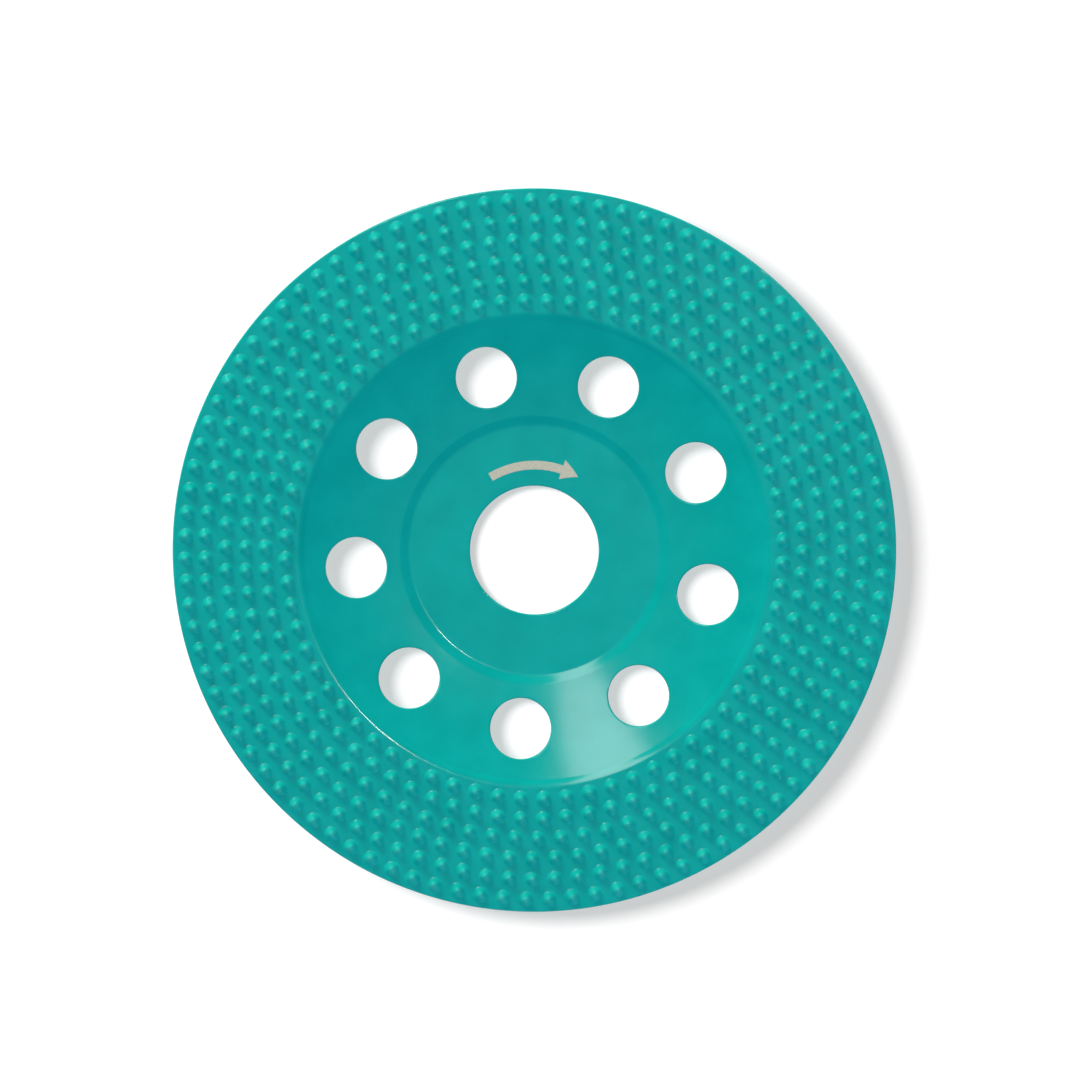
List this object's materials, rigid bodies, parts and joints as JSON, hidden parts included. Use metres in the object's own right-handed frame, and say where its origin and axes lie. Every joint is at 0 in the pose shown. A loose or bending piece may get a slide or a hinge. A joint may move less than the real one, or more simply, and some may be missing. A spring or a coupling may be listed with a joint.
{
  "type": "angle grinder carving disc",
  "caption": "Round depressed-centre carving disc for an angle grinder: a painted steel dish with a clamping hub and vents, and a flat band of raised teeth in staggered rings.",
  "frame": {"origin": "on the bore's axis, in the plane of the hub's back face, which is the disc's lowest face when it lies with its teeth up", "axes": "+Z along the bore's axis, out of the toothed face and away from the grinder; +X and +Y lie across the disc"},
  "size_m": [0.125, 0.125, 0.0071],
  "materials": {
    "disc_paint": "semi-gloss teal paint on pressed steel",
    "tooth_paint": "semi-gloss teal paint over brazed carbide teeth, a little thinner at the tips"
  },
  "bodies": {
    "root": {"disc_body": "disc_paint", "tooth_ring_1": "tooth_paint", "tooth_ring_2": "tooth_paint", "tooth_ring_3": "tooth_paint", "tooth_ring_4": "tooth_paint", "tooth_ring_5": "tooth_paint", "tooth_ring_6": "tooth_paint"}
  },
  "joints": []
}
